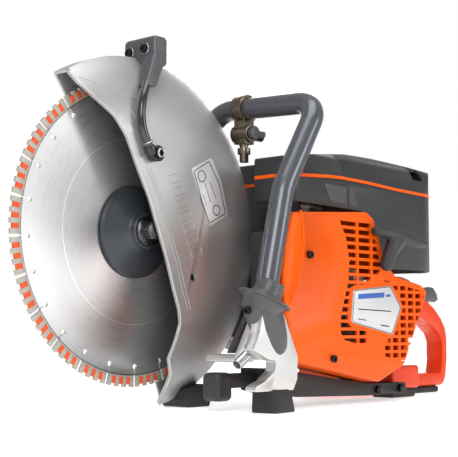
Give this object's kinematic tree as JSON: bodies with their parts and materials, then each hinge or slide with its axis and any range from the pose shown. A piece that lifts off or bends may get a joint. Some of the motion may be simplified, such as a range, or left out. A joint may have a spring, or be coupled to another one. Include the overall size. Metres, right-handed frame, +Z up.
{
  "type": "petrol concrete cut-off saw",
  "caption": "Hand-held petrol cut-off saw with a large diamond blade, tilting metal blade guard, tubular front handle, loop rear handle, pull starter and belt-driven cutting arm.",
  "frame": {"origin": "centre of the rectangle that the whole saw covers on the floor, at floor height", "axes": "+X from the blade towards the rear handle, +Y from the starter side towards the belt side, +Z up"},
  "size_m": [0.757, 0.2643, 0.423],
  "materials": {
    "blade_steel": "brushed",
    "segment_metal": "sintered, rough",
    "dark_flange": "satin black",
    "machined_steel": "machined",
    "cast_aluminium": "bead blasted",
    "clutch_steel": "matt",
    "muffler_steel": "heat resistant matt",
    "guard_paint": "satin grey",
    "arm_paint": "satin black",
    "charcoal_plastic": "fine texture",
    "orange_plastic": "semi gloss",
    "handle_grey": "semi gloss",
    "grey_plastic": "semi matt",
    "black_plastic": "matt",
    "blue_plastic": "gloss",
    "clear_rubber": "translucent",
    "black_rubber": "matt",
    "hose_rubber": "gloss",
    "nozzle_plastic": "gloss",
    "filter_foam": "pleated",
    "label_metal": "satin",
    "valve_brass": "aged",
    "screw_steel": "blackened"
  },
  "bodies": {
    "frame": {"ball_bearings": "machined_steel", "spark_plug": "machined_steel", "exhaust_pipe": "machined_steel", "crankcase": "cast_aluminium", "cylinder": "cast_aluminium", "front_bracket": "cast_aluminium", "carburettor": "cast_aluminium", "muffler": "muffler_steel", "cutting_arm": "arm_paint", "cylinder_cover": "charcoal_plastic", "air_filter_cover": "charcoal_plastic", "belt_cover": "charcoal_plastic", "starter_cover": "orange_plastic", "cover_stripe": "orange_plastic", "rear_handle": "orange_plastic", "fuel_tank": "orange_plastic", "front_handle": "handle_grey", "handle_collar": "grey_plastic", "handle_sleeve": "grey_plastic", "side_foot": "grey_plastic", "lower_link": "black_plastic", "front_foot": "black_rubber", "rear_feet": "black_rubber", "vibration_dampers": "black_rubber", "intake_boot": "black_rubber", "drive_belt": "black_rubber", "air_filter": "filter_foam", "starter_label": "label_metal", "water_valve": "valve_brass", "body_screws": "screw_steel"},
    "blade": {"blade_core": "blade_steel", "blade_segments": "segment_metal", "outer_flange": "dark_flange", "inner_flange": "dark_flange", "blade_bolt": "machined_steel", "blade_spindle": "machined_steel", "blade_pulley": "cast_aluminium"},
    "crank": {"crankshaft": "machined_steel", "flywheel": "cast_aluminium", "clutch_shoes": "clutch_steel"},
    "drum": {"clutch_drum": "machined_steel"},
    "guard": {"guard_shell": "guard_paint", "guard_back": "guard_paint", "guard_label": "label_metal", "guard_grip": "grey_plastic", "guard_screws": "machined_steel", "guard_foot": "black_rubber", "water_hose": "hose_rubber", "hose_nozzle": "nozzle_plastic"},
    "piston_body": {"piston": "cast_aluminium"},
    "reel": {"starter_pulley": "grey_plastic"},
    "grip": {"starter_grip": "grey_plastic"},
    "trigger": {"throttle_trigger": "grey_plastic"},
    "lockout": {"throttle_lockout": "grey_plastic"},
    "switch": {"stop_switch": "grey_plastic"},
    "choke": {"choke_knob": "grey_plastic"},
    "decompressor": {"decompression_button": "blue_plastic"},
    "purge": {"purge_bulb": "clear_rubber"},
    "cap": {"fuel_cap": "grey_plastic"},
    "lever": {"valve_lever": "grey_plastic"}
  },
  "joints": [
    {"name": "blade_spin", "type": "hinge", "parent": "frame", "child": "blade", "pos_m": [-0.2035, 0.04275, 0.2], "axis": [0, 1, 0], "continuous": true},
    {"name": "drum_spin", "type": "hinge", "parent": "frame", "child": "drum", "pos_m": [0.0545, 0.10275, 0.112], "axis": [0, 1, 0], "continuous": true},
    {"name": "crank_spin", "type": "hinge", "parent": "frame", "child": "crank", "pos_m": [0.0545, 0.01575, 0.112], "axis": [0, 1, 0], "continuous": true},
    {"name": "piston_stroke", "type": "slide", "parent": "frame", "child": "piston_body", "axis": [0, 0, 1], "range_m": [-0.02, 0.02]},
    {"name": "guard_tilt", "type": "hinge", "parent": "frame", "child": "guard", "pos_m": [-0.2035, 0.05775, 0.2], "axis": [0, 1, 0], "range_deg": [-40, 25]},
    {"name": "starter_pull", "type": "slide", "parent": "frame", "child": "grip", "axis": [0.3903, 0, 0.9207], "range_m": [0, 0.6], "stiffness_N_per_m": 15, "springref_m": -0.3},
    {"name": "reel_spin", "type": "hinge", "parent": "frame", "child": "reel", "pos_m": [0.0545, -0.09425, 0.112], "axis": [0, 1, 0], "range_deg": [0, 1440]},
    {"name": "throttle", "type": "hinge", "parent": "frame", "child": "trigger", "pos_m": [0.2765, 0.00175, 0.112], "axis": [0, -1, 0], "range_deg": [0, 12], "stiffness_Nm_per_rad": 0.3, "springref_deg": -11.46},
    {"name": "throttle_lock", "type": "hinge", "parent": "frame", "child": "lockout", "pos_m": [0.3205, 0.00175, 0.133], "axis": [0, 1, 0], "range_deg": [0, 8], "stiffness_Nm_per_rad": 0.2, "springref_deg": -11.46},
    {"name": "stop_slide", "type": "slide", "parent": "frame", "child": "switch", "axis": [1, 0, 0], "range_m": [0, 0.006]},
    {"name": "choke_pull", "type": "slide", "parent": "frame", "child": "choke", "axis": [0, 1, 0], "range_m": [0, 0.012]},
    {"name": "decompression_push", "type": "slide", "parent": "frame", "child": "decompressor", "axis": [0, 0, -1], "range_m": [0, 0.004], "stiffness_N_per_m": 600, "springref_m": -0.002},
    {"name": "purge_push", "type": "slide", "parent": "frame", "child": "purge", "axis": [0, -1, 0], "range_m": [0, 0.003], "stiffness_N_per_m": 500, "springref_m": -0.002},
    {"name": "cap_turn", "type": "hinge", "parent": "frame", "child": "cap", "pos_m": [0.1965, 0.08075, 0.105], "axis": [0, 1, 0], "range_deg": [0, 360]},
    {"name": "water_tap", "type": "hinge", "parent": "frame", "child": "lever", "pos_m": [-0.044, -0.00125, 0.329], "axis": [0, 1, 0], "range_deg": [0, 90]}
  ],
  "couplings": [
    {"joint": "drum_spin", "follows": "blade_spin", "ratio": 2},
    {"joint": "reel_spin", "follows": "starter_pull", "rad_per_m": 41.667}
  ]
}
